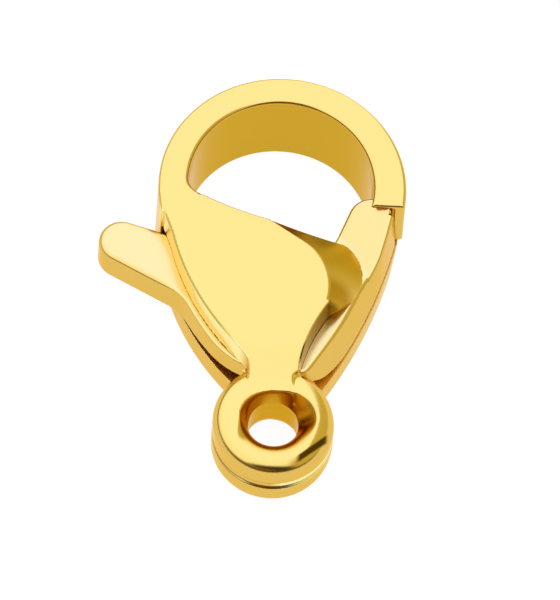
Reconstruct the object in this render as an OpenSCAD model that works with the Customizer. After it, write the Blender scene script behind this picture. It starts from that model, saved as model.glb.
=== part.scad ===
// Lobster clasp, lying on its back: front face up (+Z), hook towards +Y, thumb tab towards -X.
// The origin is the middle of the ring's eye. Levels below are counted from the back face.

/* [Body] */
// Thickness of the hook from back face to front face
body_t = 3.75; // [3.4:0.05:4.4]
// Outside radius of the hook
hook_r = 4.3; // [4.2:0.05:4.4]
// Distance from the eye's axis to the hook's centre
hook_y = 8.65; // [8.55:0.05:8.75]
// Radius of the jaw opening inside the hook
jaw_r = 3.22; // [3.15:0.01:3.3]
// How far the jaw opening sits above the hook's centre
jaw_up = 0.1; // [0:0.05:0.2]
// Height of the hook's cut tip above the eye's axis
tip_y = 8.07; // [8:0.01:8.15]
// Thickness of the front lip over the gate's nose
lip_t = 0.4; // [0.3:0.05:0.7]

/* [Plates] */
// Thickness of the front plate
front_t = 1.05; // [0.8:0.05:1.2]
// Thickness of the back plate
back_t = 1.15; // [0.8:0.05:1.2]
// Radius of the long left flank of the plates
left_flank_r = 9.6; // [9.4:0.1:9.9]
// Radius of the long right flank of the plates
right_flank_r = 18; // [17.5:0.1:18.5]
// How far the front plate's left edge stands behind the lever's
front_inset = 0.2; // [0.1:0.05:0.3]
// Radius of the raised round field on the front plate
field_r = 2.1; // [2:0.05:2.2]
// Radius of the foot of the slope beside that field
slope_r = 1.5; // [1.4:0.05:1.6]

/* [Eye ring] */
// Outside radius of the ring
ring_r = 2.1; // [1.9:0.05:2.3]
// Radius of the eye at its narrowest
eye_r = 0.8; // [0.6:0.05:0.95]
// Thickness of the ring
ring_t = 2.6; // [2.4:0.05:2.8]
// Rounding of the ring's outer edges
ring_round = 0.5; // [0.3:0.05:0.6]
// Radius of the eye where the neck's front face ends
rim_r = 1.15; // [1:0.05:1.25]
// Depth of the groove around the ring's side
groove_depth = 0.08; // [0.05:0.01:0.12]
// Width of the neck on the front plate
neck_w = 1.55; // [1.3:0.05:1.8]

/* [Lever] */
// Sideways place of the pivot
pivot_x = 0.2; // [0:0.05:0.4]
// Distance from the eye's axis to the pivot
pivot_y = 5.05; // [4.95:0.05:5.15]
// Radius of the lever's tail about the pivot
tail_r = 3.1; // [3:0.02:3.12]
// Reach of the gate's nose from the pivot
nose_reach = 5.03; // [4.95:0.01:5.06]
// Height that the gate's face rises to towards its nose, above the lever's face
gate_rise = 0.65; // [0.4:0.05:0.65]
// Rounding of the thumb tab's end
tab_r = 0.8; // [0.7:0.05:0.85]
// How far the centre of the tab's end lies left of the pivot
tab_reach = 5.67; // [5.5:0.05:6]
// How far the centre of the tab's end lies above the pivot
tab_rise = 1.82; // [1.76:0.02:1.9]

/* [Pivot pin] */
// Radius of the hidden pin
pin_r = 0.5; // [0.4:0.05:0.6]
// Depth of the pin's seat in each plate
pin_seat = 0.6; // [0.4:0.05:0.7]

/* [Clearances] */
// Gap between each face of the lever and its plate
face_gap = 0.075; // [0.05:0.025:0.15]
// Gap between the lever's edges and the body
lever_gap = 0.08; // [0.06:0.01:0.12]
// Radial running clearance of the pin in the lever
pin_run = 0.04; // [0.02:0.01:0.08]
// Radial clearance of the pin in its seats
pin_fit = 0.01; // [0.005:0.005:0.02]

/* [Hidden] */
$fn = 96;
gold = "gold";
far = 20;
over = 1;

// Levels of the slot, which the lever fills between the plates
slot_low = back_t;
slot_high = body_t - front_t;
lever_low = slot_low + face_gap;
lever_high = slot_high - face_gap;
ring_mid = body_t / 2;
neck_half = ring_t / 2 - 0.1;
mouth_round = ring_r - ring_round - eye_r;
groove_r = 0.15;

// Where the long flanks lean on the hook, seen from its centre
left_lean = 183.6;
right_lean = -13;
left_inset = 0.05;
right_inset = 0.15;
left_centre = flank_centre(left_flank_r, left_lean, left_inset);
right_centre = flank_centre(right_flank_r, right_lean, right_inset);

// The jaw's lower edge is a shallow hollow arc
jaw_left = 0.05;
jaw_edge_r = 11.7;
jaw_edge_x = 2.4;
jaw_edge_up = 10.08;

// Plan levels, counted from the hook's centre and from the pivot
plates_low = 1.05;
plates_drop = 0.3;
slot_drop = 1.2;
slot_flat_drop = 2.85;
lever_flat_drop = 1.4;
core_rise = 1.9;
slot_top = hook_y - slot_drop;
slot_flat_y = pivot_y - slot_flat_drop;
lever_flat_y = pivot_y - lever_flat_drop;
core_top = pivot_y + core_rise;
tail_clear_y = pivot_y - tail_r - lever_gap;

// The raised field and its sloping side, and the notch under the slope
field_left = 0.38;
field_drop = 0.27;
field_c = [-field_left, pivot_y - field_drop];
corner_left = 0.5;
corner_rise = 2.02;
field_corner = [-corner_left, pivot_y + corner_rise];
field_corner_r = 0.25;
slope_x = 1.45;
slope_rise = 0.75;
slope_c = [slope_x, pivot_y + slope_rise];
slope_foot_drop = 0.8;
slope_foot_y = pivot_y - slope_foot_drop;
slope_foot_x = 1.2;
flat_right = 1.7;
flat_overlap = 0.1;
skin = 0.02;

// The neck's right side is a hollow arc, its left side a smaller one
waist_r = 6.4;
waist_x = 7.1;
waist_y = 0.71;
left_waist_r = 0.6;
neck_left = -0.93;
neck_mid_y = 1.55;
neck_top_y = 1.65;
neck_low_y = 1.35;
// The neck's front face falls gently from the plate to the eye
fall_top_y = 2.6;
fall_drop = 0.6;

// The lever's right edge stays this far behind the flank
lever_inset = 0.02;

// The gate's straight inner edge and blunt nose
gate_inner_low = [1.84, 7.05];
gate_inner_top = [2.5, 8.47];
gate_top_y = 8.67;
gate_top_x = [2.7, 3.6];
gate_shoulder_y = 8.25;

// The gate's face rises on a cone about the pivot
rise_in_r = 2.98;
rise_out_r = 4.75;

// The lever's underside is relieved towards its tail
relief_top_drop = 1.4;
relief_low_drop = 2.9;
relief_h = 0.45;

// The hook's back face slants up to its tip
chamfer_x = 2;
chamfer_run = 1.8;
chamfer_h = 0.7;

// Box that bounds the recess in the tip for the gate's nose
recess_low = 1.05;
recess_x = 2.9;
recess_drop = 0.5;
recess_top_y = 9.55;

// Directions of the tab's two long edges, as angles on its round end
tab_top_a = 74;
tab_low_a = 242;
tab_root_x = -2.7;
tab_centre = [pivot_x - tab_reach, pivot_y + tab_rise];

function flank_centre(r, lean, inset) = [
    (hook_r - r - inset) * cos(lean),
    hook_y + (hook_r - r - inset) * sin(lean)
];
// A point just inside the tab's round end, in direction a
function on_tab(a) = tab_centre + (tab_r - skin) * [cos(a), sin(a)];
function tab_edge_y(a, x) = on_tab(a)[1] - (x - on_tab(a)[0]) / tan(a);

module disc(r, c) {
    translate(c) circle(r, $fn = 180);
}

module band(x0, x1, y0, y1) {
    translate([x0, y0]) square([x1 - x0, y1 - y0]);
}

module slab(z0, z1) {
    translate([0, 0, z0]) linear_extrude(z1 - z0) children();
}

// Plan of the tapering plates between their two long flanks
module taper(inset = 0) {
    intersection() {
        disc(left_flank_r - inset, left_centre);
        disc(right_flank_r, right_centre);
        band(-far, far, plates_low, hook_y - plates_drop);
    }
}

module jaw() {
    intersection() {
        disc(jaw_r, [-jaw_left, hook_y + jaw_up]);
        disc(jaw_edge_r, [jaw_edge_x, hook_y + jaw_edge_up]);
    }
}

// Hook from its foot on the left round to the cut tip
module hook_plan() {
    difference() {
        union() {
            disc(hook_r, [0, hook_y]);
            taper();
        }
        jaw();
        band(-far, far, -far, slot_top);
        band(0, far, -far, tip_y);
    }
}

// Flat field of the front plate, left of the slope
module front_plan() {
    difference() {
        intersection() {
            taper(front_inset);
            union() {
                band(-far, field_c[0], neck_top_y, slot_top + flat_overlap);
                disc(field_r - 3 * skin, field_c);
                difference() {
                    band(field_c[0], flat_right, neck_top_y, slope_foot_y + skin);
                    disc(waist_r, [waist_x, waist_y]);
                }
            }
        }
        jaw();
        disc(left_waist_r, [neck_left - left_waist_r, neck_mid_y]);
    }
}

// Sloping side between the raised field and the lever's face
module slope() {
    difference() {
        hull() {
            slab(body_t - skin, body_t) {
                disc(field_r, field_c);
                disc(field_corner_r, field_corner);
            }
            slab(slot_high, slot_high + skin) disc(slope_r, slope_c);
        }
        slab(-over, body_t + over) jaw();
        slab(-over, body_t + over) band(slope_foot_x, far, -far, slope_foot_y);
    }
}

module back_plan() {
    difference() {
        taper();
        jaw();
        band(0, far, core_top, far);
        band(-far, far, -far, neck_top_y);
    }
}

module tail_clearance() {
    disc(tail_r + lever_gap, [pivot_x, pivot_y]);
}

// Clearance that the lever's tail and body turn in
module slot_plan() {
    tail_clearance();
    band(-far, far, slot_flat_y, far);
}

module neck() {
    intersection() {
        slab(0, body_t) difference() {
            taper();
            slot_plan();
        }
        translate([-far, 0, 0]) rotate([90, 0, 90]) linear_extrude(2 * far) polygon([
            [far, 0],
            [neck_top_y, 0],
            [neck_low_y, ring_mid - neck_half],
            [0, ring_mid - neck_half],
            [0, ring_mid + neck_half],
            [neck_low_y, ring_mid + neck_half],
            [neck_top_y, slot_high],
            [far, slot_high]
        ]);
    }
    slab(ring_mid, body_t) band(neck_left, neck_left + neck_w, 0, tail_clear_y);
}

// What is cut away in front of the neck, where its face falls towards the eye
module neck_fall() {
    translate([-far, 0, 0]) rotate([90, 0, 90]) linear_extrude(2 * far) polygon([
        [fall_top_y, body_t],
        [fall_top_y, body_t + over],
        [0, body_t + over],
        [0, body_t - fall_drop - over],
        [rim_r - skin, body_t - fall_drop - over],
        [rim_r - skin, body_t - fall_drop]
    ]);
}

// Section of the ring: round edges, wide round mouths at the eye and a groove outside
module ring_section() {
    h = ring_t / 2;
    crest = ring_r - ring_round;
    difference() {
        band(eye_r, ring_r, -h, h);
        for (side = [-1, 1]) mirror([0, side < 0 ? 1 : 0]) {
            difference() {
                band(0, crest, h - mouth_round, h + over);
                translate([crest, h - mouth_round]) circle(mouth_round, $fn = 64);
            }
            difference() {
                band(crest, ring_r + over, h - ring_round, h + over);
                translate([crest, h - ring_round]) circle(ring_round, $fn = 64);
            }
        }
        translate([ring_r + groove_r - groove_depth, 0]) circle(groove_r, $fn = 48);
    }
}

module ring() {
    translate([0, 0, ring_mid]) rotate_extrude($fn = 128) ring_section();
}

module eye_clearance() {
    translate([0, 0, -over]) cylinder(r = rim_r, h = body_t + 2 * over, $fn = 128);
}

// Slanted back of the hook's tip
module tip_chamfer() {
    translate([chamfer_x, 0, 0]) rotate([90, 0, 90]) linear_extrude(far) polygon([
        [tip_y + chamfer_run, 0],
        [tip_y, chamfer_h],
        [tip_y - recess_drop, chamfer_h],
        [tip_y - recess_drop, -over],
        [tip_y + chamfer_run, -over]
    ]);
}

module body() {
    color(gold) translate([0, 0, -ring_mid]) difference() {
        union() {
            slab(0, body_t) hook_plan();
            slab(0, slot_low) back_plan();
            slope();
            difference() {
                union() {
                    slab(slot_high, body_t) front_plan();
                    neck();
                }
                neck_fall();
                eye_clearance();
            }
            difference() {
                ring();
                slab(slot_low, slot_high) tail_clearance();
            }
        }
        // Recess that the gate's nose swings into
        slab(recess_low, body_t - lip_t) intersection() {
            disc(nose_reach + lever_gap, [pivot_x, pivot_y]);
            band(recess_x, far, tip_y - recess_drop, recess_top_y);
        }
        tip_chamfer();
        // Seats of the hidden pin
        translate([pivot_x, pivot_y, slot_low - pin_seat])
            cylinder(r = pin_r + pin_fit, h = slot_high - slot_low + 2 * pin_seat);
    }
}

// Gate and body of the lever, inside the slot and clear of the neck
module blade_plan() {
    intersection() {
        disc(right_flank_r - lever_inset, right_centre);
        disc(left_flank_r, left_centre);
        disc(nose_reach, [pivot_x, pivot_y]);
        union() {
            intersection() {
                disc(tail_r, [pivot_x, pivot_y]);
                band(-far, far, -far, pivot_y);
            }
            polygon([
                [-far, lever_flat_y],
                [far, lever_flat_y],
                [far, gate_shoulder_y],
                [gate_top_x[1], gate_top_y],
                [gate_top_x[0], gate_top_y],
                gate_inner_top,
                gate_inner_low,
                [gate_inner_low[0], core_top],
                [-far, core_top]
            ]);
        }
    }
}

module tab_plan() {
    disc(tab_r, tab_centre);
    polygon([
        on_tab(tab_top_a),
        [tab_root_x, tab_edge_y(tab_top_a, tab_root_x)],
        [tab_root_x, tab_edge_y(tab_low_a, tab_root_x)],
        on_tab(tab_low_a)
    ]);
}

// Part of the gate that rises above the lever's face
module gate_top() {
    difference() {
        slab(lever_high - skin, lever_high + gate_rise) intersection() {
            blade_plan();
            band(gate_inner_low[0] - over, far, core_top - over, far);
        }
        translate([pivot_x, pivot_y, lever_high])
            cylinder(r1 = rise_in_r, r2 = rise_out_r, h = gate_rise, $fn = 180);
        translate([pivot_x, pivot_y, lever_high - over]) cylinder(r = rise_in_r, h = over + skin, $fn = 180);
    }
}

module tail_relief() {
    translate([-far, 0, 0]) rotate([90, 0, 90]) linear_extrude(2 * far) polygon([
        [pivot_y - relief_top_drop, lever_low],
        [pivot_y - relief_low_drop, lever_low + relief_h],
        [0, lever_low + relief_h],
        [0, lever_low - over],
        [pivot_y - relief_top_drop, lever_low - over]
    ]);
}

module lever() {
    color(gold) translate([0, 0, -ring_mid]) difference() {
        union() {
            slab(lever_low, lever_high) blade_plan();
            slab(lever_low, lever_high) tab_plan();
            gate_top();
        }
        tail_relief();
        translate([pivot_x, pivot_y, 0]) cylinder(r = pin_r + pin_run, h = body_t);
    }
}

module pivot_pin() {
    color("silver") translate([pivot_x, pivot_y, slot_low - pin_seat + pin_fit - ring_mid])
        cylinder(r = pin_r, h = slot_high - slot_low + 2 * (pin_seat - pin_fit));
}

body();
lever();
pivot_pin();
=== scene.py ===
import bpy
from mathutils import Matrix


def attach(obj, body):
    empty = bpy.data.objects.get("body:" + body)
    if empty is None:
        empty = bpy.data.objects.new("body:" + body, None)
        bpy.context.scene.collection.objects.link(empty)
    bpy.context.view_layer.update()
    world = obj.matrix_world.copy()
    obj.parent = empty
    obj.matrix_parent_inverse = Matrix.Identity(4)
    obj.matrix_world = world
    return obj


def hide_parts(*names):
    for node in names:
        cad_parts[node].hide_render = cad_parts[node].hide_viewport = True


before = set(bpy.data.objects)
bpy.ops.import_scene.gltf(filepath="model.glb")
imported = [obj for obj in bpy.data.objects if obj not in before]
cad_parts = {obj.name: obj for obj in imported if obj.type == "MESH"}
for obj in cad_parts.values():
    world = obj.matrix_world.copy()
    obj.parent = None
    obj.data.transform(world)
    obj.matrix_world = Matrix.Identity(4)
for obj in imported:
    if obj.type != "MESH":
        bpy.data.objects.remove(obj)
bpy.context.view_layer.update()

import math

import bpy
import numpy as np
from mathutils import Matrix, Vector

MM = 0.001

# All sizes are in mm. x and y start at the middle of the eye, and z at the back face.
# Thickness of the clasp and of its back plate, and the underside of its front plate
BODY_T, BACK_T, SLOT_TOP_Z = 3.75, 1.15, 2.67
MID_Z = BODY_T / 2

# Outline: the hook, the jaw with its lower edge, and the arcs of both flanks
HOOK_C, HOOK_R = (0.0, 8.65), 4.3
JAW_C, JAW_R = (-0.05, 8.75), 3.22
JAW_EDGE_C, JAW_EDGE_R = (2.4, 18.73), 11.7
LEFT_C, LEFT_R = (5.339, 8.986), 9.6
RIGHT_C, RIGHT_R = (-13.495, 11.766), 18.0
TAPER_DROP, FLANK_BLEND, JAW_CORNER_R = 0.3, 0.12, 0.35

# Lower ends of the hook: its tip on the right, and the end of the slot on the left
TIP_Y, SLOT_FOOT_Y, END_ROUND = 8.07, 7.45, 0.06
TIP_LEFT_X, TIP_FOOT = 1.0, 0.6
CHAMFER_RUN, CHAMFER_H, CHAMFER_COS, CHAMFER_ROUND = 1.8, 1.3, 0.81, 0.1
RECESS_LEFT_X, RECESS_FOOT, RECESS_LOW_Z, RECESS_WALL, LIP_T = 2.9, 0.5, 1.05, 0.2, 0.2

# The lever turns about the pivot, with this clearance from the body
PIVOT, GAP = (0.2, 5.05), 0.08
TAIL_R, NOSE_R, PIN_HOLE_R = 3.1, 5.03, 0.54
LEVER_LOW_Z, LEVER_HIGH_Z = 1.225, 2.625
TAIL_CLEAR_Y = PIVOT[1] - TAIL_R - GAP
TAIL_CLEAR_HALF_T, NO_CUT = 0.9, -9.0

# Rounded edges, and the seams where parts of the body meet
HOOK_ROUND, BACK_ROUND, PLATE_ROUND = 0.14, 0.2, 0.08
PLATE_SEAM, NECK_SEAM, RING_SEAM = 0.03, 0.05, 0.12


def circ(x, y, c, r):
    """Circle: below 0 inside it."""
    return np.hypot(x - c[0], y - c[1]) - r


def smin(a, b, k):
    """Union of two fields, blended over k."""
    h = np.clip(0.5 + 0.5 * (b - a) / k, 0.0, 1.0)
    return b * (1 - h) + a * h - k * h * (1 - h)


def smax(a, b, k):
    """Intersection of two fields, blended over k."""
    return -smin(-a, -b, k)


def rmax(a, b, r):
    """Intersection of two fields whose shared edge is a round of radius r."""
    u, v = np.maximum(a + r, 0), np.maximum(b + r, 0)
    return np.sqrt(u * u + v * v) - r + np.minimum(np.maximum(a + r, b + r), 0)


def step(a, b, v):
    """Smooth change from 0 at a to 1 at b."""
    t = np.clip((v - a) / (b - a), 0.0, 1.0)
    return t * t * (3 - 2 * t)


def two_discs(x, y, a, ra, b, rb):
    """Distance to the hull of two discs, whose centres and radii may vary from point to point."""
    px, py = x - a[0], y - a[1]
    qx, qy = b[0] - a[0], b[1] - a[1]
    h = qx * qx + qy * qy
    u = np.abs(px * qy - py * qx) / h
    w = (px * qx + py * qy) / h
    drop = ra - rb
    side = np.sqrt(np.maximum(h - drop * drop, 1e-9))
    k = side * w - drop * u
    n = u * u + w * w
    d = (side * u + drop * w) - ra
    d = np.where(k < 0, np.sqrt(h * n) - ra, d)
    return np.where(k > side, np.sqrt(h * np.maximum(n + 1 - 2 * w, 0)) - rb, d)


def taper_plan(x, y):
    """Between the arcs of both flanks."""
    return np.maximum(circ(x, y, LEFT_C, LEFT_R), circ(x, y, RIGHT_C, RIGHT_R))


def jaw_plan(x, y):
    """Opening inside the hook."""
    return smax(circ(x, y, JAW_C, JAW_R), circ(x, y, JAW_EDGE_C, JAW_EDGE_R), JAW_CORNER_R)


def hook_plan(x, y):
    """Hook around the jaw, down to the end of the slot on the left and to the tip on the right."""
    taper = np.maximum(taper_plan(x, y), y - (HOOK_C[1] - TAPER_DROP))
    outer = smin(circ(x, y, HOOK_C, HOOK_R), taper, FLANK_BLEND)
    end = np.where(x < 0, SLOT_FOOT_Y - y, TIP_Y - y)
    return smax(np.maximum(outer, -jaw_plan(x, y)), end, END_ROUND)


def hook_field(x, y, z):
    """Hook with rounded edges. Its tip is slanted at the back."""
    hook = rmax(rmax(hook_plan(x, y), z - BODY_T, HOOK_ROUND), -z, BACK_ROUND)
    slant = (CHAMFER_H * (TIP_Y + CHAMFER_RUN - y) / CHAMFER_RUN - z) * CHAMFER_COS
    at_tip = (x > TIP_LEFT_X) & (y > TIP_Y - TIP_FOOT)
    return np.where(at_tip, smax(hook, slant, CHAMFER_ROUND), hook)


def recess_field(x, y, z):
    """Recess in the hook's tip, under its front lip, for the gate's nose."""
    side = np.maximum(RECESS_LEFT_X - x, TIP_Y - RECESS_FOOT - y)
    d = np.maximum(circ(x, y, PIVOT, NOSE_R + GAP), side)
    d = np.maximum(d, circ(x, y, RIGHT_C, RIGHT_R - RECESS_WALL))
    return np.maximum(d, np.maximum(RECESS_LOW_Z - z, z - (BODY_T - LIP_T)))


# Right side of the front plate: it narrows downwards from the hull of field and corner to the foot,
# and ends in the concave waist below them
FIELD_C, FIELD_R = (-0.38, 4.78), 2.1
CORNER_C, CORNER_R = (-0.5, 7.07), 0.25
FOOT_C, FOOT_R = (1.45, 5.8), 1.5
FOOT_CUT_X, FOOT_CUT_Y, FOOT_ROUND = 1.2, 4.25, 0.06
WAIST_C, WAIST_R, WAIST_DRAFT = (7.1, 0.71), 6.4, 0.04
WAIST_TOP_Y, WAIST_RIGHT_X, WAIST_BLEND, CORE_BLEND = 4.27, 2.0, 0.12, 0.02
HOLLOW_COS, HOLLOW_ROUND = 0.8, 0.05
# Left side of the front plate, which lies inside the flank's arc except at its top
FRONT_INSET, INSET_NONE_Y, INSET_FULL_Y, PLATE_TOP_Y = 0.2, 8.0, 6.5, 8.2
LEFT_WAIST_R, LEFT_WAIST_Y, LEFT_WAIST_BLEND = 0.6, 1.55, 0.1
# Neck of the front plate, and its face, which falls towards the ring
NECK_LEFT, NECK_W, NECK_HALF_L, NECK_BLEND = -0.93, 1.55, 1.1, 0.25
NECK_TOP_Y, NECK_LOW_Y = 1.65, 1.35
FALL_TOP_Y, FALL_LOW_Y, FALL_DROP, FALL_COS, FALL_BLEND = 2.6, 1.15, 0.6, 0.92, 0.1


def plate_right(x, y, t):
    """Front plate left of its S-shaped edge, t of the way down its hollow side."""
    a = [p + (q - p) * t for p, q in zip(FIELD_C, FOOT_C)]
    b = [p + (q - p) * t for p, q in zip(CORNER_C, FOOT_C)]
    b[1] = b[1] + 1e-3  # both discs end in the foot, and their centres must differ
    ra = FIELD_R + (FOOT_R - FIELD_R) * t
    rb = CORNER_R + (FOOT_R - CORNER_R) * t
    d = two_discs(x, y, a, ra, b, rb)
    d = smax(d, np.minimum(x - FOOT_CUT_X, FOOT_CUT_Y - y), FOOT_ROUND)
    waist = WAIST_R - WAIST_DRAFT * t - np.hypot(x - WAIST_C[0], y - WAIST_C[1])
    waist = np.maximum(np.maximum(waist, y - WAIST_TOP_Y), x - WAIST_RIGHT_X)
    d = smin(d, waist, WAIST_BLEND)
    return smin(d, x - FIELD_C[0], CORE_BLEND)


def front_field(x, y, z):
    """Front plate with its neck and its hollow right side."""
    left = circ(x, y, LEFT_C, LEFT_R - FRONT_INSET * step(INSET_NONE_Y, INSET_FULL_Y, y))
    waist = -circ(x, y, (NECK_LEFT - LEFT_WAIST_R, LEFT_WAIST_Y), LEFT_WAIST_R)
    left = smax(left, waist, LEFT_WAIST_BLEND)
    left = np.maximum(left, NECK_TOP_Y - y)
    left = np.maximum(left, circ(x, y, RIGHT_C, RIGHT_R))
    neck = np.maximum(NECK_LEFT - x, x - NECK_LEFT - NECK_W)
    neck = np.maximum(neck, np.abs(y - NECK_HALF_L) - NECK_HALF_L)
    plan = smin(np.maximum(left, -jaw_plan(x, y)), neck, NECK_BLEND)
    fall = FALL_DROP * (FALL_TOP_Y - y) / (FALL_TOP_Y - FALL_LOW_Y)
    face = smax(z - BODY_T, (z - BODY_T + fall) * FALL_COS, FALL_BLEND)
    front = rmax(plan, face, PLATE_ROUND)
    down = np.clip((BODY_T - z) / (BODY_T - SLOT_TOP_Z), 0, 1)
    front = smax(front, plate_right(x, y, down) * HOLLOW_COS, HOLLOW_ROUND)
    front = np.maximum(front, np.where(y > TAIL_CLEAR_Y, SLOT_TOP_Z, MID_Z) - z)
    return np.maximum(front, y - PLATE_TOP_Y)


# Upper end of the back plate, which is slanted at the right flank
BACK_END_Y, BACK_SLANT_X, BACK_SLANT, BACK_SLANT_COS = 6.95, 2.5, 1.1, 0.67
# Solid neck between the plates: upper end with its drop on the right, and flare towards the plates
BLOCK_TOP_Y, BLOCK_DROP, BLOCK_DROP_X = 2.0, 0.4, (0.55, 0.9)
FLARE_HALF_T, FLARE_COS, FLARE_SIN = 1.2, 0.93, 0.37


def back_field(x, y, z):
    """Back plate."""
    plan = np.maximum(taper_plan(x, y), -jaw_plan(x, y))
    slant = (y - BACK_END_Y - BACK_SLANT * z) * BACK_SLANT_COS
    end = np.where(x > BACK_SLANT_X, slant, y - BACK_END_Y)
    plan = np.maximum(plan, np.where(x > 0, end, y - PLATE_TOP_Y))
    plan = np.maximum(plan, NECK_TOP_Y - y)
    return np.maximum(rmax(plan, -z, BACK_ROUND), z - BACK_T)


def neck_field(x, y, z):
    """Solid neck between the plates, behind the lever's tail."""
    neck = np.maximum(taper_plan(x, y), -circ(x, y, PIVOT, TAIL_R + GAP))
    neck = np.maximum(neck, y - BLOCK_TOP_Y + BLOCK_DROP * step(*BLOCK_DROP_X, x))
    neck = np.maximum(neck, np.maximum(-z, z - SLOT_TOP_Z))
    flare = FLARE_COS * (np.abs(z - MID_Z) - FLARE_HALF_T) - FLARE_SIN * (y - NECK_LOW_Y)
    return np.maximum(neck, np.maximum(flare, -y))


# Ring: radius, half thickness, and rounding, which is larger on the right
RING_R, RING_HALF_T, RING_ROUND, RING_ROUND_RIGHT = 2.1, 1.3, 0.55, 0.2
GROOVE_OUT, GROOVE_R, GROOVE_SQUEEZE, RING_EDGE = 0.06, 0.17, 0.8, 0.05
# Eye: radius, how far its mouth opens to each side, where the opening starts and how far it runs
EYE_R, EYE_ROUND, EYE_COS, MOUTH_EDGE = 0.85, 0.85, 0.85, 0.06
OPEN_RIGHT, OPEN_LEFT, OPEN_FAR, OPEN_NEAR = 0.56, 0.26, 0.08, 0.26
OPEN_FROM, OPEN_RUN, OPEN_MOST = 0.6, 0.6, 1.2
NEAR_TURN, BACK_TURN_Z = 0.75, 0.1


def eye_field(x, y, z):
    """Inside of the eye: steep mouth, widest on the right, and round at the near side and the back."""
    q = np.hypot(x, y)
    w = np.abs(z - MID_Z)
    cx, cy = x / np.maximum(q, 1e-6), y / np.maximum(q, 1e-6)
    opening = OPEN_RIGHT * np.clip(cx, 0, 1) ** 2 + OPEN_LEFT * np.clip(-cx, 0, 1) ** 2
    opening = opening + OPEN_FAR * np.clip(cy, 0, 1) ** 2 + OPEN_NEAR * np.clip(-cy, 0, 1) ** 2
    cone = EYE_R + opening * np.clip((w - OPEN_FROM) / OPEN_RUN, 0, OPEN_MOST) - q
    mu, mw = EYE_R + EYE_ROUND - q, w - (RING_HALF_T - EYE_ROUND)
    bell = np.where(mu > 0, np.hypot(mu, np.maximum(mw, 0)), mu) - EYE_ROUND
    back = step(MID_Z + BACK_TURN_Z, MID_Z - BACK_TURN_Z, z)
    round_part = np.maximum(step(0.0, NEAR_TURN, -cy), back)
    return cone * EYE_COS * (1 - round_part) + bell * round_part


def ring_field(x, y, z):
    """Ring with round edges, the eye and a shallow groove outside."""
    q = np.hypot(x, y)
    w = np.abs(z - MID_Z)
    rim = RING_ROUND + RING_ROUND_RIGHT * np.clip(x / np.maximum(q, 1e-6), 0, 1) ** 2
    ou, ow = q - RING_R + rim, w - RING_HALF_T + rim
    outer = np.where((ou > 0) & (ow > 0), np.hypot(ou, ow), np.maximum(ou, ow)) - rim
    d = smax(eye_field(x, y, z), outer, MOUTH_EDGE)
    groove = np.hypot(q - RING_R - GROOVE_OUT, w * GROOVE_SQUEEZE) - GROOVE_R
    return smax(d, -groove, RING_EDGE)


def body_field(x, y, z):
    """Whole cast body."""
    hook = hook_field(x, y, z)
    d = np.minimum(smin(hook, front_field(x, y, z), PLATE_SEAM),
                   smin(hook, back_field(x, y, z), PLATE_SEAM))
    d = smin(d, neck_field(x, y, z), NECK_SEAM)
    tail = -circ(x, y, PIVOT, TAIL_R + GAP)
    tail = np.where(np.abs(z - MID_Z) < TAIL_CLEAR_HALF_T, tail, NO_CUT)
    d = smin(d, np.maximum(ring_field(x, y, z), tail), RING_SEAM)
    d = smax(d, eye_field(x, y, z), RING_EDGE)
    return np.maximum(d, -recess_field(x, y, z))


# Thumb tab: round end, and the directions that its upper and lower sides face
TAB_C, TAB_R, TAB_ROOT_X, TAB_BLEND = (-5.47, 6.87), 0.8, -2.6, 0.3
TAB_TOP_A, TAB_LOW_A = math.radians(74), math.radians(242)
# Gate: a point on its inner side and that side's normal, its top, and the normal of its shoulder
INNER_P, INNER_N = (1.84, 7.05), (-0.907, 0.421)
GATE_TOP_Y, SHOULDER_X, SHOULDER_N, GATE_CORNER_R = 8.57, 3.6, (0.423, 0.906), 0.4
# Arm between gate and tail, and how far the lever lies inside the flank
ARM_TOP_Y, ARM_LOW_Y, ARM_BLEND, TAIL_MORE = 6.95, 3.2, 0.05, 0.03
FLANK_INSET, FLANK_ROUND, NOSE_ROUND = 0.04, 0.1, 0.15
# The gate's face rises with the distance from the pivot, right of RISE_X and above RISE_Y
GATE_RISE, RISE_IN_R, RISE_OUT_R, RISE_TILT = 0.85, 2.98, 4.7, 0.1
RISE_X, RISE_Y = (0.6, 1.4), (5.0, 6.0)
# Relief under the tail, which starts higher on the left
RELIEF_LEFT_Y, RELIEF_RIGHT_Y, RELIEF_LOW_Y, RELIEF_H, RELIEF_TURN_X = 4.8, 3.4, 2.15, 0.5, 0.5
# The right side leans inwards towards the face: less at the gate, more at the tail
LEAN, LEAN_GATE, LEAN_TAIL, LEAN_FROM_Z = 0.36, 0.2, 0.06, 1.5
LEAN_GATE_Y, LEAN_TAIL_Y = (5.1, 6.6), (4.2, 2.6)
NOSE_INSET, NOSE_INSET_Y = 0.26, (7.8, 8.0)
# Edge roundings of the face and the back, with what is added at the gate and at the tab
FACE_ROUND, FACE_GATE, FACE_GATE_X, FACE_TAB, FACE_TAB_X = 0.1, 0.06, (1.4, 2.6), 0.14, (3.4, 4.2)
LOW_ROUND, LOW_TAB, LOW_TAB_X = 0.04, 0.1, (3.0, 3.6)


def tab_plan(x, y):
    """Thumb tab: the end's disc, widened towards the pivot between its two sides."""
    qx, qy = x - TAB_C[0], y - TAB_C[1]
    a1 = qx * math.cos(TAB_TOP_A) + qy * math.sin(TAB_TOP_A)
    a2 = qx * math.cos(TAB_LOW_A) + qy * math.sin(TAB_LOW_A)
    t1 = qx * math.sin(TAB_TOP_A) - qy * math.cos(TAB_TOP_A)
    t2 = -qx * math.sin(TAB_LOW_A) + qy * math.cos(TAB_LOW_A)
    d = np.hypot(qx, qy) - TAB_R
    d = np.where((a1 >= a2) & (t1 > 0), a1 - TAB_R, d)
    d = np.where((a1 < a2) & (t2 > 0), a2 - TAB_R, d)
    return np.maximum(d, x - TAB_ROOT_X)


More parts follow.
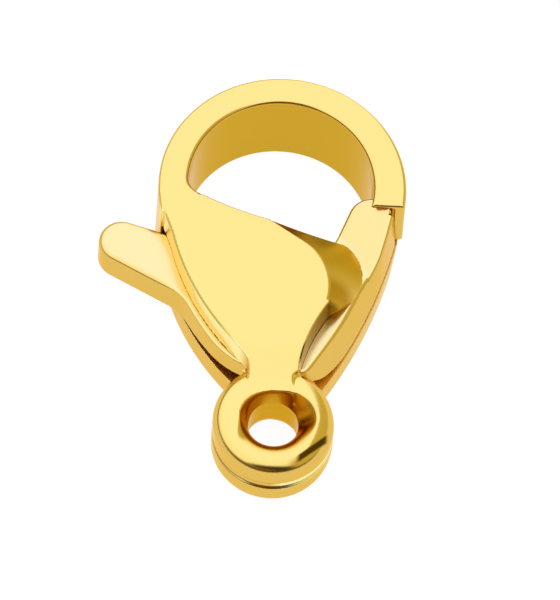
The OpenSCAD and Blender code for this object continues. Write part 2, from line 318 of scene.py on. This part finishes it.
def blade_plan(x, y, inset):
    """Gate, arm and tail, with the right side moved inwards by the inset."""
    inner = INNER_N[0] * (x - INNER_P[0]) + INNER_N[1] * (y - INNER_P[1])
    shoulder = SHOULDER_N[0] * (x - SHOULDER_X) + SHOULDER_N[1] * (y - GATE_TOP_Y)
    gate = smax(inner, np.maximum(y - GATE_TOP_Y, shoulder), GATE_CORNER_R)
    arm = np.maximum(np.minimum(gate, y - ARM_TOP_Y), ARM_LOW_Y - y)
    tail = np.maximum(circ(x, y, PIVOT, TAIL_R + TAIL_MORE), y - PIVOT[1])
    core = smin(tail, arm, ARM_BLEND)
    core = smax(core, circ(x, y, RIGHT_C, RIGHT_R - FLANK_INSET) + inset, FLANK_ROUND)
    core = np.maximum(core, circ(x, y, LEFT_C, LEFT_R))
    return smax(core, circ(x, y, PIVOT, NOSE_R), NOSE_ROUND)


def lever_field(x, y, z):
    """Whole lever."""
    reach = circ(x, y, PIVOT, 0)
    gate = step(*RISE_X, x) * step(*RISE_Y, y)
    rise = GATE_RISE * gate * np.clip((reach - RISE_IN_R) / (RISE_OUT_R - RISE_IN_R), 0, 1)
    left = step(RELIEF_TURN_X, -RELIEF_TURN_X, x)
    relief_y = RELIEF_RIGHT_Y + (RELIEF_LEFT_Y - RELIEF_RIGHT_Y) * left
    relief = RELIEF_H * np.clip((relief_y - y) / (relief_y - RELIEF_LOW_Y), 0, 1)
    height = np.clip((z - LEAN_FROM_Z) / (LEVER_HIGH_Z + rise - LEAN_FROM_Z), 0, 1)
    lean = LEAN - LEAN_GATE * step(*LEAN_GATE_Y, y) + LEAN_TAIL * step(*LEAN_TAIL_Y, y)
    inset = np.maximum(height * lean, NOSE_INSET * step(*NOSE_INSET_Y, y))
    plan = smin(blade_plan(x, y, inset), tab_plan(x, y), TAB_BLEND)
    r = FACE_ROUND + FACE_GATE * step(*FACE_GATE_X, x) + FACE_TAB * step(*FACE_TAB_X, -x)
    d = rmax(plan, (z - LEVER_HIGH_Z - rise) * (1 - RISE_TILT * gate), r)
    d = rmax(d, LEVER_LOW_Z + relief - z, LOW_ROUND + LOW_TAB * step(*LOW_TAB_X, -x))
    return np.maximum(d, -(reach - PIN_HOLE_R))


# Making a surface: cells of the grid taken at once, steps that draw a point onto the surface, their
# length and the drift allowed (in cells), and the distances over which slopes and normals are taken
SLAB, PULLS, PULL_MAX, DRIFT_MAX = 32, 4, 0.3, 0.6
SLOPE_STEP, NORMAL_STEP = 0.004, 0.012


def gradient(field, p, e):
    """Slope of the field at each point, taken over the distance e to both sides."""
    g = np.empty_like(p)
    for i in range(3):
        hi, lo = p.copy(), p.copy()
        hi[:, i] += e
        lo[:, i] -= e
        g[:, i] = (field(*hi.T) - field(*lo.T)) / (2 * e)
    return g


def surface_points(field, f, lo, h):
    """One point for each cell of the grid f that the surface crosses; also the cells."""
    n = f.shape
    s = (f < 0).astype(np.uint8)
    cells = sum(s[i:n[0] - 1 + i, j:n[1] - 1 + j, k:n[2] - 1 + k]
                for i in (0, 1) for j in (0, 1) for k in (0, 1))
    at = np.argwhere((cells > 0) & (cells < 8))
    corner = np.array([(i, j, k) for i in (0, 1) for j in (0, 1) for k in (0, 1)])
    v = np.stack([f[tuple((at + c).T)] for c in corner], 1)
    total, count = np.zeros((len(at), 3)), np.zeros(len(at))
    for a in range(8):
        for b in range(a + 1, 8):
            if np.abs(corner[a] - corner[b]).sum() != 1:
                continue
            cross = (v[:, a] < 0) != (v[:, b] < 0)
            t = v[cross, a] / (v[cross, a] - v[cross, b])
            total[cross] += corner[a] + t[:, None] * (corner[b] - corner[a])
            count[cross] += 1
    p = np.array(lo) + h * (at + total / count[:, None])
    home = p.copy()
    for _ in range(PULLS):
        g = gradient(field, p, SLOPE_STEP)
        g2 = np.maximum((g * g).sum(1), 1e-3)
        move = -(field(*p.T) / g2)[:, None] * g
        size = np.linalg.norm(move, axis=1, keepdims=True)
        p += move * np.minimum(1, PULL_MAX * h / np.maximum(size, 1e-9))
    return at, home + np.clip(p - home, -DRIFT_MAX * h, DRIFT_MAX * h)


def surface_quads(inside, at):
    """Four-sided faces between the points of neighbouring cells, facing outwards."""
    n = inside.shape
    ids = np.full([m - 1 for m in n], -1, np.int64)
    ids[tuple(at.T)] = np.arange(len(at))
    quads = []
    for axis in range(3):
        u, w = (axis + 1) % 3, (axis + 2) % 3
        a = inside.take(range(n[axis] - 1), axis)
        b = inside.take(range(1, n[axis]), axis)
        e = np.argwhere(a != b)
        e = e[(e[:, u] > 0) & (e[:, w] > 0) & (e[:, u] < n[u] - 1) & (e[:, w] < n[w] - 1)]
        flip = ~a[tuple(e.T)]
        ring = []
        for du, dw in ((1, 1), (0, 1), (0, 0), (1, 0)):
            c = e.copy()
            c[:, u] -= du
            c[:, w] -= dw
            ring.append(ids[tuple(c.T)])
        q = np.stack(ring, 1)
        q[flip] = q[flip][:, ::-1]
        quads.append(q)
    return np.concatenate(quads)


def surface(name, part_field, lo, hi, h):
    """Object made of the zero surface of a field, on a grid of cell size h from lo to hi."""
    def field(x, y, z):
        return part_field(x, y, z + MID_Z)

    n = [int(math.ceil((b - a) / h)) + 1 for a, b in zip(lo, hi)]
    ax = [lo[i] + h * np.arange(n[i]) for i in range(3)]
    f = np.empty(n, np.float32)
    for k in range(0, n[0], SLAB):
        xs = ax[0][k:k + SLAB][:, None, None]
        f[k:k + SLAB] = field(xs, ax[1][None, :, None], ax[2][None, None, :])
    at, p = surface_points(field, f, lo, h)
    quads = surface_quads(f < 0, at)
    mesh = bpy.data.meshes.new(name)
    mesh.vertices.add(len(p))
    mesh.vertices.foreach_set("co", (p * MM).astype(np.float32).ravel())
    mesh.loops.add(quads.size)
    mesh.loops.foreach_set("vertex_index", quads.astype(np.int32).ravel())
    mesh.polygons.add(len(quads))
    mesh.polygons.foreach_set("loop_start", (np.arange(len(quads)) * 4).astype(np.int32))
    mesh.update(calc_edges=True)
    mesh.validate()
    mesh.shade_smooth()
    g = gradient(field, p, NORMAL_STEP)
    g /= np.maximum(np.linalg.norm(g, axis=1, keepdims=True), 1e-9)
    mesh.normals_split_custom_set_from_vertices(g.astype(np.float32))
    obj = bpy.data.objects.new(name, mesh)
    bpy.context.scene.collection.objects.link(obj)
    return obj


def ramp(nt, value, zero, one):
    """0 at zero, 1 at one."""
    r = nt.nodes.new("ShaderNodeMapRange")
    r.inputs["From Min"].default_value, r.inputs["From Max"].default_value = zero, one
    nt.links.new(value, r.inputs["Value"])
    return r.outputs["Result"]


def calc(nt, operation, *values):
    """Math node whose inputs are sockets or numbers."""
    m = nt.nodes.new("ShaderNodeMath")
    m.operation = operation
    for slot, value in zip(m.inputs, values):
        if isinstance(value, float):
            slot.default_value = value
        else:
            nt.links.new(value, slot)
    return m.outputs[0]


def colour_mix(nt, fac, a, b):
    """Mix of two colours, each given as a tuple or a socket."""
    m = nt.nodes.new("ShaderNodeMix")
    m.data_type = "RGBA"
    nt.links.new(fac, m.inputs["Factor"])
    for slot, value in (("A", a), ("B", b)):
        if isinstance(value, tuple):
            m.inputs[slot].default_value = (*value, 1)
        else:
            nt.links.new(value, m.inputs[slot])
    return m.outputs["Result"]


def vector_calc(nt, operation, vector, *value):
    """Vector node of a socket and, for most operations, a fixed vector."""
    v = nt.nodes.new("ShaderNodeVectorMath")
    v.operation = operation
    nt.links.new(vector, v.inputs[0])
    if value:
        v.inputs[1].default_value = value
    return v


def region(nt, coord, centre, ramps):
    """Product of ramps (what, zero, one) in mm, over X, Y, Z or R, the distance from the centre."""
    place = coord.outputs["Object"]
    away = vector_calc(nt, "SUBTRACT", place, centre[0] * MM, centre[1] * MM, 0)
    flat = vector_calc(nt, "MULTIPLY", away.outputs["Vector"], 1, 1, 0)
    length = vector_calc(nt, "LENGTH", flat.outputs["Vector"])
    parts = nt.nodes.new("ShaderNodeSeparateXYZ")
    nt.links.new(place, parts.inputs[0])
    out = None
    for what, zero, one in ramps:
        value = length.outputs["Value"] if what == "R" else parts.outputs[what]
        part = ramp(nt, value, zero * MM, one * MM)
        out = part if out is None else calc(nt, "MULTIPLY", out, part)
    return out


def noise(nt, coord, scale):
    n = nt.nodes.new("ShaderNodeTexNoise")
    n.inputs["Scale"].default_value = scale
    nt.links.new(coord.outputs["Object"], n.inputs["Vector"])
    return n


# Metal: tint at grazing angles, clouds in the colour, fine grain in the roughness, and the upward
# slopes between which a surface takes the face colour, a painted tone on upward faces
EDGE_TINT = (1.0, 0.82, 0.5)
CLOUD_SCALE, CLOUD_DETAIL, CLOUD_DEPTH = 700, 3, 0.96
GRAIN_SCALE, GRAIN_DEPTH = 5200, 0.05
PAINTED_TOP_FROM, PAINTED_TOP_FULL = 0.8, 0.97


def metal(name, base, face, rough, painted_light=(), dull=None):
    """Polished metal, with the face colour painted on upward faces. Painted shade and painted light
    change its colour in regions, and dull makes one region rougher.
    """
    m = bpy.data.materials.new(name)
    m.use_nodes = True
    nt = m.node_tree
    b = nt.nodes["Principled BSDF"]
    b.inputs["Metallic"].default_value = 1.0
    b.inputs["Specular Tint"].default_value = (*EDGE_TINT, 1)
    coord = nt.nodes.new("ShaderNodeTexCoord")
    clouds = noise(nt, coord, CLOUD_SCALE)
    clouds.inputs["Detail"].default_value = CLOUD_DETAIL
    deep = tuple(CLOUD_DEPTH * v for v in base)
    tone = colour_mix(nt, clouds.outputs["Fac"], base, deep)
    shape = nt.nodes.new("ShaderNodeNewGeometry")
    normal = nt.nodes.new("ShaderNodeSeparateXYZ")
    nt.links.new(shape.outputs["Normal"], normal.inputs[0])
    # painted sheen: upward faces take the face colour
    tone = colour_mix(nt, ramp(nt, normal.outputs["Z"], PAINTED_TOP_FROM, PAINTED_TOP_FULL), tone, face)
    # painted shade and painted light, region by region
    for centre, ramps, painted_colour in painted_light:
        tone = colour_mix(nt, region(nt, coord, centre, ramps), tone, painted_colour)
    nt.links.new(tone, b.inputs["Base Color"])
    grain = nt.nodes.new("ShaderNodeMapRange")
    grain.inputs["To Min"].default_value = rough
    grain.inputs["To Max"].default_value = rough + GRAIN_DEPTH
    nt.links.new(noise(nt, coord, GRAIN_SCALE).outputs["Fac"], grain.inputs["Value"])
    finish = grain.outputs["Result"]
    if dull:
        centre, ramps, more = dull
        finish = calc(nt, "MULTIPLY_ADD", region(nt, coord, centre, ramps), more, finish)
    nt.links.new(finish, b.inputs["Roughness"])
    return m


# Painted shade and painted light, in place of shade and reflections: places darker or paler than
# the rest: centre, ramps, colour. Z starts at half the thickness.
EYE_C = (0.0, 0.0)
SCOOP = (("R", 3.5, 3.3), ("X", 0.4, 0.9), ("Y", 7.2, 7.0), ("Z", 0.8, 0.85), ("Z", 1.86, 1.82))
PAINTED_SHADE_AND_LIGHT = (
    # painted shade inside the jaw
    (JAW_C, (("R", 3.34, 3.26), ("Z", 1.8, 1.7)), (0.58, 0.35, 0.03)),
    # painted shade inside the eye
    (EYE_C, (("R", 1.5, 1.35), ("Z", 1.28, 1.15)), (0.62, 0.33, 0.02)),
    # painted shade at the foot of the hollow side
    ((1.9, 4.5), (("R", 0.95, 0.5), ("Z", 1.86, 1.8)), (0.5, 0.27, 0.02)),
    # painted shade, nearly black, on the wall under the S-shaped edge
    (WAIST_C,
     (("R", 6.47, 6.43), ("R", 6.1, 6.2), ("Y", 1.9, 2.1), ("Y", 4.4, 4.2), ("Z", 0.7, 0.8),
      ("Z", 1.86, 1.8)), (0.1, 0.055, 0.005)),
    # painted dark reflection along the upper edge of the front plate's left wall
    (LEFT_C,
     (("R", 9.3, 9.33), ("R", 9.5, 9.48), ("Y", 2.6, 3.2), ("Y", 7.7, 7.2), ("Z", 1.74, 1.79),
      ("Z", 1.874, 1.868)), (0.4, 0.29, 0.04)),
    # painted shade: a dark streak on the ring's right shoulder
    ((-4.07, 4.68),
     (("R", 7.87, 7.92), ("R", 8.1, 8.05), ("X", 0.8, 0.95), ("X", 1.92, 1.8), ("Y", 0.0, -0.5),
      ("Z", 0.8, 0.9)), (0.1, 0.05, 0.005)),
    # painted shade in the back half of the eye
    (EYE_C, (("R", 1.9, 1.8), ("Z", 0.3, 0.1), ("Z", -1.28, -1.2)), (0.62, 0.33, 0.02)),
    # painted light on the right part of the ring's groove, which hides its dark line there
    (EYE_C,
     (("R", 2.1, 2.06), ("R", 1.85, 1.9), ("X", 0.0, 0.4), ("Z", -0.28, -0.22), ("Z", 0.28, 0.22)),
     (1.0, 0.85, 0.4)),
    # painted shade on the hollow side
    (FIELD_C, SCOOP + (("Y", 5.0, 5.9),), (0.61, 0.38, 0.025)),
    # painted light on the front plate's left wall
    (LEFT_C,
     (("R", 9.34, 9.38), ("R", 9.66, 9.62), ("Y", 2.0, 2.3), ("Y", 7.9, 7.5), ("Z", 0.7, 0.8),
      ("Z", 1.86, 1.8)), (1.0, 0.88, 0.42)),
)
# the hollow side is less polished
HOLLOW = (FIELD_C, SCOOP + (("Y", 4.3, 4.6),), 0.25)
# Colour of the sides, colour painted on upward faces (a paler sheen on the gold, darker on the pin),
# and roughness
GOLD_LOOK = (0.75, 0.49, 0.11), (0.76, 0.51, 0.138), 0.16
LEVER_LOOK = (0.74, 0.485, 0.11), (0.77, 0.54, 0.21), 0.16
STEEL_LOOK = (0.6, 0.59, 0.56), (0.5, 0.49, 0.47), 0.3
GOLD = metal("polished_gold", *GOLD_LOOK, PAINTED_SHADE_AND_LIGHT, HOLLOW)
LEVER_GOLD = metal("polished_gold_lever", *LEVER_LOOK)
STEEL = metal("pin_steel", *STEEL_LOOK)

# Cell of the grid, and the boxes that hold the surfaces. Z starts at half the thickness.
CELL = 0.06
BODY_BOX = (-4.5, -2.3, -2.05), (4.5, 13.1, 2.05)
LEVER_BOX = (-6.5, 1.8, -0.85), (4.4, 9.1, 1.6)

body = surface("clasp_body", body_field, *BODY_BOX, CELL)
body.data.materials.append(GOLD)
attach(body, "frame")
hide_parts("body")

lever = surface("clasp_lever", lever_field, *LEVER_BOX, CELL)
lever.data.materials.append(LEVER_GOLD)
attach(lever, "gate")
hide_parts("lever")

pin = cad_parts["pivot_pin"]
for s in pin.material_slots:
    s.material = STEEL

# Stage and lamp, in metres: white luminous floor just under the clasp, dark card on it in front, of
# which only the reflection is seen, and large soft lamp for the floor
FLOOR_Z, FLOOR_GAP, FLOOR_SIZE = -MID_Z * MM, 0.00001, 1.6
FLOOR_GREY, GLOW, GLOW_STRENGTH = (0.06, 0.06, 0.06), (1.0, 1.0, 1.0), 0.95
CARD_Y, CARD_LIFT, CARD_SIZE, CARD_BROWN = -0.21, 0.0005, (0.5, 0.4), (0.06, 0.04, 0.01)
LAMP_SIZE, LAMP_POWER, LAMP_PLACE = 0.6, 2.4, (0, 0.1, 0.5)


def matt_plane(name, size, place, scale, material_name, colour):
    """Plane without gloss; returns it and its shader."""
    bpy.ops.mesh.primitive_plane_add(size=size, location=place)
    plane = bpy.context.object
    plane.name = name
    plane.scale = scale
    m = bpy.data.materials.new(material_name)
    m.use_nodes = True
    b = m.node_tree.nodes["Principled BSDF"]
    b.inputs["Base Color"].default_value = (*colour, 1)
    b.inputs["Roughness"].default_value = 1.0
    b.inputs["Specular IOR Level"].default_value = 0.0
    plane.data.materials.append(m)
    return plane, b


floor, floor_shader = matt_plane(
    "floor", FLOOR_SIZE, (0, 0, FLOOR_Z - FLOOR_GAP), (1, 1, 1), "floor_white", FLOOR_GREY)
floor_shader.inputs["Emission Color"].default_value = (*GLOW, 1)
floor_shader.inputs["Emission Strength"].default_value = GLOW_STRENGTH

card, _ = matt_plane(
    "dark_card", 1, (0, CARD_Y, FLOOR_Z + CARD_LIFT), (*CARD_SIZE, 1), "card_dark", CARD_BROWN)
card.visible_camera = False

world = bpy.data.worlds.new("studio")
bpy.context.scene.world = world
bpy.context.scene.view_settings.view_transform = "Standard"
world.use_nodes = True
wn = world.node_tree
bg = wn.nodes["Background"]
wc = wn.nodes.new("ShaderNodeTexCoord")
split = wn.nodes.new("ShaderNodeSeparateXYZ")
wn.links.new(wc.outputs["Generated"], split.inputs[0])


def zone(output, edges, levels):
    """Smooth change from level to level as the direction's component goes from edge to edge."""
    r = wn.nodes.new("ShaderNodeMapRange")
    r.interpolation_type = "SMOOTHSTEP"
    r.inputs["From Min"].default_value, r.inputs["From Max"].default_value = edges
    r.inputs["To Min"].default_value, r.inputs["To Max"].default_value = levels
    wn.links.new(split.outputs[output], r.inputs["Value"])
    return r.outputs["Result"]


# white tent at the back, top and left, yellow side wall on the right, dark golden studio in front,
# and a dim golden strip low down on the left
TENT, SIDE_WALL = (1.4, 1.62, 2.2), (0.75, 0.7, 0.25)
FRONT_DARK, STRIP = (0.06, 0.035, 0.004), (0.3, 0.21, 0.04)
WALL_X, FRONT_Y, STRIP_Z, STRIP_X = (0.35, 0.6), (-0.88, -0.72), (0.08, 0.3), (-0.2, 0.3)
FALLING, RISING = (1.0, 0.0), (0.0, 1.0)
sky = colour_mix(wn, zone("X", WALL_X, FALLING), SIDE_WALL, TENT)
sky = colour_mix(wn, zone("Y", FRONT_Y, RISING), FRONT_DARK, sky)
low_left = calc(wn, "MULTIPLY", zone("Z", STRIP_Z, FALLING), zone("X", STRIP_X, FALLING))
sky = colour_mix(wn, low_left, sky, STRIP)
wn.links.new(sky, bg.inputs["Color"])
bg.inputs["Strength"].default_value = 1.0

lamp = bpy.data.objects.new("top_softbox", bpy.data.lights.new("top_softbox", "AREA"))
bpy.context.scene.collection.objects.link(lamp)
lamp.data.shape = "DISK"
lamp.data.size = LAMP_SIZE
lamp.data.energy = LAMP_POWER
lamp.location = LAMP_PLACE
lamp.visible_glossy = False

# Camera: angle above the floor, lean in the picture and turn about the clasp; pixels to the mm, the
# pixel where the eye's middle on the floor is seen, and the picture's size
ELEV, LEAN_A, TURN_A = math.radians(62), math.radians(5), math.radians(-2.6)
PX_MM, ORIGIN_PX, FRAME_PX = 28.9, (270.26, 457.63), (560, 600)
DISTANCE, SENSOR_W, CLIP = 0.6, 36, (0.01, 5)
above = Vector((0, 0, 1))
right = Vector((math.cos(TURN_A), math.sin(TURN_A), 0))
ahead = Vector((-math.sin(TURN_A), math.cos(TURN_A), 0))
up = ahead * math.sin(ELEV) + above * math.cos(ELEV)
back = -ahead * math.cos(ELEV) + above * math.sin(ELEV)
cam_x = right * math.cos(LEAN_A) + up * math.sin(LEAN_A)
cam_y = -right * math.sin(LEAN_A) + up * math.cos(LEAN_A)
shift_x, shift_y = FRAME_PX[0] / 2 - ORIGIN_PX[0], ORIGIN_PX[1] - FRAME_PX[1] / 2
centre = (cam_x * shift_x + cam_y * shift_y) / PX_MM * MM
cam = bpy.data.objects.new("camera", bpy.data.cameras.new("camera"))
bpy.context.scene.collection.objects.link(cam)
cam.matrix_world = Matrix([(cam_x[i], cam_y[i], back[i], 0) for i in range(3)] + [(0, 0, 0, 1)])
cam.location = centre + back * DISTANCE + above * FLOOR_Z
cam.data.sensor_width = SENSOR_W
cam.data.lens = PX_MM / MM * DISTANCE * SENSOR_W / FRAME_PX[1]
cam.data.clip_start, cam.data.clip_end = CLIP
bpy.context.scene.camera = cam
